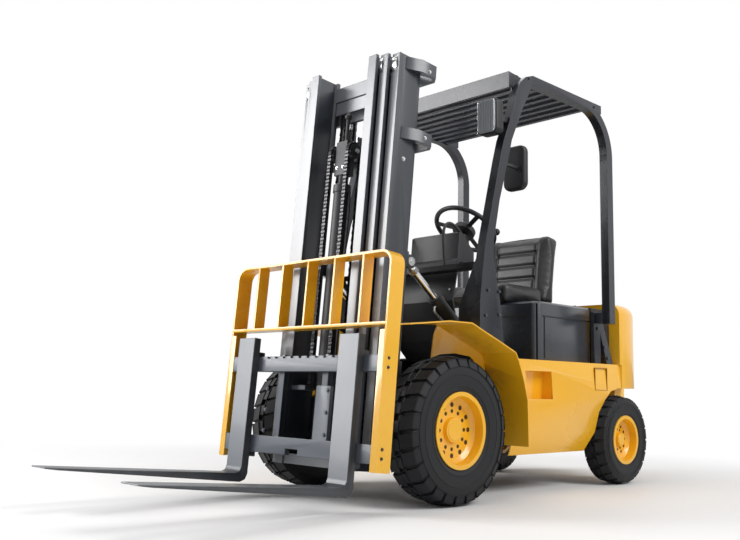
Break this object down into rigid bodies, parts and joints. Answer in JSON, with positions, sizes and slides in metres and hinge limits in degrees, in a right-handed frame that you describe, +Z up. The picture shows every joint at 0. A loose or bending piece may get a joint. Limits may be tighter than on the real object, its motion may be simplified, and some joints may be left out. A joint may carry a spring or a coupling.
{
  "type": "counterbalance forklift truck",
  "caption": "Three-stage counterbalance forklift with overhead guard, yellow bodywork, load backrest and a pair of forks that lift and tilt.",
  "frame": {"origin": "on the ground below the middle of the whole truck, forks included", "axes": "+X forward to the forks, +Y to the truck's left, +Z up"},
  "size_m": [3.605, 1.184, 2.222],
  "materials": {
    "yellow_paint": "gloss",
    "slate_paint": "satin",
    "black_paint": "satin",
    "black_plastic": "matte",
    "seat_vinyl": "semi-gloss",
    "tyre": "matte",
    "bright_rod": "polished",
    "chain_steel": "oiled",
    "lamp_glass": "clear",
    "mirror_glass": "polished",
    "rear_lens": "gloss"
  },
  "bodies": {
    "chassis": {"frame": "black_paint", "side_panels": "yellow_paint", "counterweight": "yellow_paint", "front_fenders": "yellow_paint", "floor_plate": "black_paint", "cowl": "black_plastic", "instrument_pod": "black_plastic", "steering_column": "black_plastic", "control_levers": "black_plastic", "foot_pedals": "black_paint", "radiator_cover": "black_paint", "overhead_guard": "slate_paint", "roof_bars": "slate_paint", "lamp_housings": "black_plastic", "lamp_lenses": "lamp_glass", "mirrors": "black_plastic", "mirror_glass": "mirror_glass", "rear_lamps": "rear_lens", "drive_axle": "black_paint", "steer_axle": "black_paint", "engine_block": "black_paint", "tow_pin": "bright_rod"},
    "steering_wheel": {"steering_wheel": "black_plastic"},
    "hood": {"hood": "slate_paint", "seat_cushion": "seat_vinyl", "seat_backrest": "seat_vinyl"},
    "front_wheel_left": {"front_tyre_left": "tyre", "front_rim_left": "yellow_paint"},
    "front_wheel_right": {"front_tyre_right": "tyre", "front_rim_right": "yellow_paint"},
    "knuckle_left": {"steer_knuckle_left": "black_paint"},
    "knuckle_right": {"steer_knuckle_right": "black_paint"},
    "rear_wheel_left": {"rear_tyre_left": "tyre", "rear_rim_left": "yellow_paint"},
    "rear_wheel_right": {"rear_tyre_right": "tyre", "rear_rim_right": "yellow_paint"},
    "outer_mast": {"outer_mast": "slate_paint", "lift_barrels": "black_paint"},
    "middle_mast": {"middle_mast": "slate_paint", "lift_rods": "bright_rod", "stage_chain_rear": "chain_steel"},
    "inner_mast": {"inner_mast": "slate_paint", "free_lift_barrel": "black_paint", "stage_chain_front": "chain_steel"},
    "crosshead": {"crosshead": "black_paint", "carriage_chain_rear": "chain_steel"},
    "carriage": {"carriage": "slate_paint", "load_backrest": "yellow_paint", "forks": "slate_paint", "carriage_chain_front": "chain_steel"},
    "tilt_barrels": {"tilt_barrels": "black_paint"},
    "tilt_rods": {"tilt_rods": "bright_rod"}
  },
  "joints": [
    {"name": "mast_tilt", "type": "hinge", "parent": "chassis", "child": "outer_mast", "pos_m": [0.22748, 0, 0.345], "axis": [0, 1, 0], "range_deg": [-1.2, 10.8]},
    {"name": "middle_lift", "type": "slide", "parent": "outer_mast", "child": "middle_mast", "axis": [-0.0837, 0, 0.9965], "range_m": [0, 1.35], "deforming": ["stage_chain_rear"]},
    {"name": "inner_lift", "type": "slide", "parent": "middle_mast", "child": "inner_mast", "axis": [-0.0837, 0, 0.9965], "range_m": [0, 1.35], "deforming": ["stage_chain_front"]},
    {"name": "free_lift", "type": "slide", "parent": "inner_mast", "child": "crosshead", "axis": [-0.0837, 0, 0.9965], "range_m": [0, 0.38], "deforming": ["carriage_chain_rear"]},
    {"name": "carriage_lift", "type": "slide", "parent": "crosshead", "child": "carriage", "axis": [-0.0837, 0, 0.9965], "range_m": [0, 0.38], "deforming": ["carriage_chain_front"]},
    {"name": "tilt_barrel_swing", "type": "hinge", "parent": "chassis", "child": "tilt_barrels", "pos_m": [-0.22252, 0, 0.745], "axis": [0, 1, 0], "range_deg": [-1.5, 9]},
    {"name": "tilt_rod_slide", "type": "slide", "parent": "tilt_barrels", "child": "tilt_rods", "axis": [0.8, 0, 0.6], "range_m": [-0.02, 0.112]},
    {"name": "front_left_spin", "type": "hinge", "parent": "chassis", "child": "front_wheel_left", "pos_m": [0.22748, 0.49, 0.345], "axis": [0, 1, 0], "continuous": true},
    {"name": "front_right_spin", "type": "hinge", "parent": "chassis", "child": "front_wheel_right", "pos_m": [0.22748, -0.49, 0.345], "axis": [0, 1, 0], "continuous": true},
    {"name": "steer_left", "type": "hinge", "parent": "chassis", "child": "knuckle_left", "pos_m": [-1.35252, 0.36, 0.258], "axis": [0, 0, 1], "range_deg": [-65, 65]},
    {"name": "steer_right", "type": "hinge", "parent": "chassis", "child": "knuckle_right", "pos_m": [-1.35252, -0.36, 0.258], "axis": [0, 0, 1], "range_deg": [-65, 65]},
    {"name": "rear_left_spin", "type": "hinge", "parent": "knuckle_left", "child": "rear_wheel_left", "pos_m": [-1.35252, 0.46, 0.258], "axis": [0, 1, 0], "continuous": true},
    {"name": "rear_right_spin", "type": "hinge", "parent": "knuckle_right", "child": "rear_wheel_right", "pos_m": [-1.35252, -0.46, 0.258], "axis": [0, 1, 0], "continuous": true},
    {"name": "steering_wheel_turn", "type": "hinge", "parent": "chassis", "child": "steering_wheel", "pos_m": [-0.49752, 0, 1.465], "axis": [-0.5736, 0, 0.8192], "continuous": true},
    {"name": "hood_open", "type": "hinge", "parent": "chassis", "child": "hood", "pos_m": [-1.13952, 0, 1.04], "axis": [0, -1, 0], "range_deg": [0, 48]}
  ],
  "couplings": [
    {"joint": "inner_lift", "follows": "middle_lift", "ratio": 1},
    {"joint": "carriage_lift", "follows": "free_lift", "ratio": 1},
    {"joint": "tilt_barrel_swing", "follows": "mast_tilt", "ratio": 0.777},
    {"joint": "tilt_rod_slide", "follows": "mast_tilt", "m_per_rad": 0.5788},
    {"joint": "steer_right", "follows": "steer_left", "ratio": 1}
  ]
}
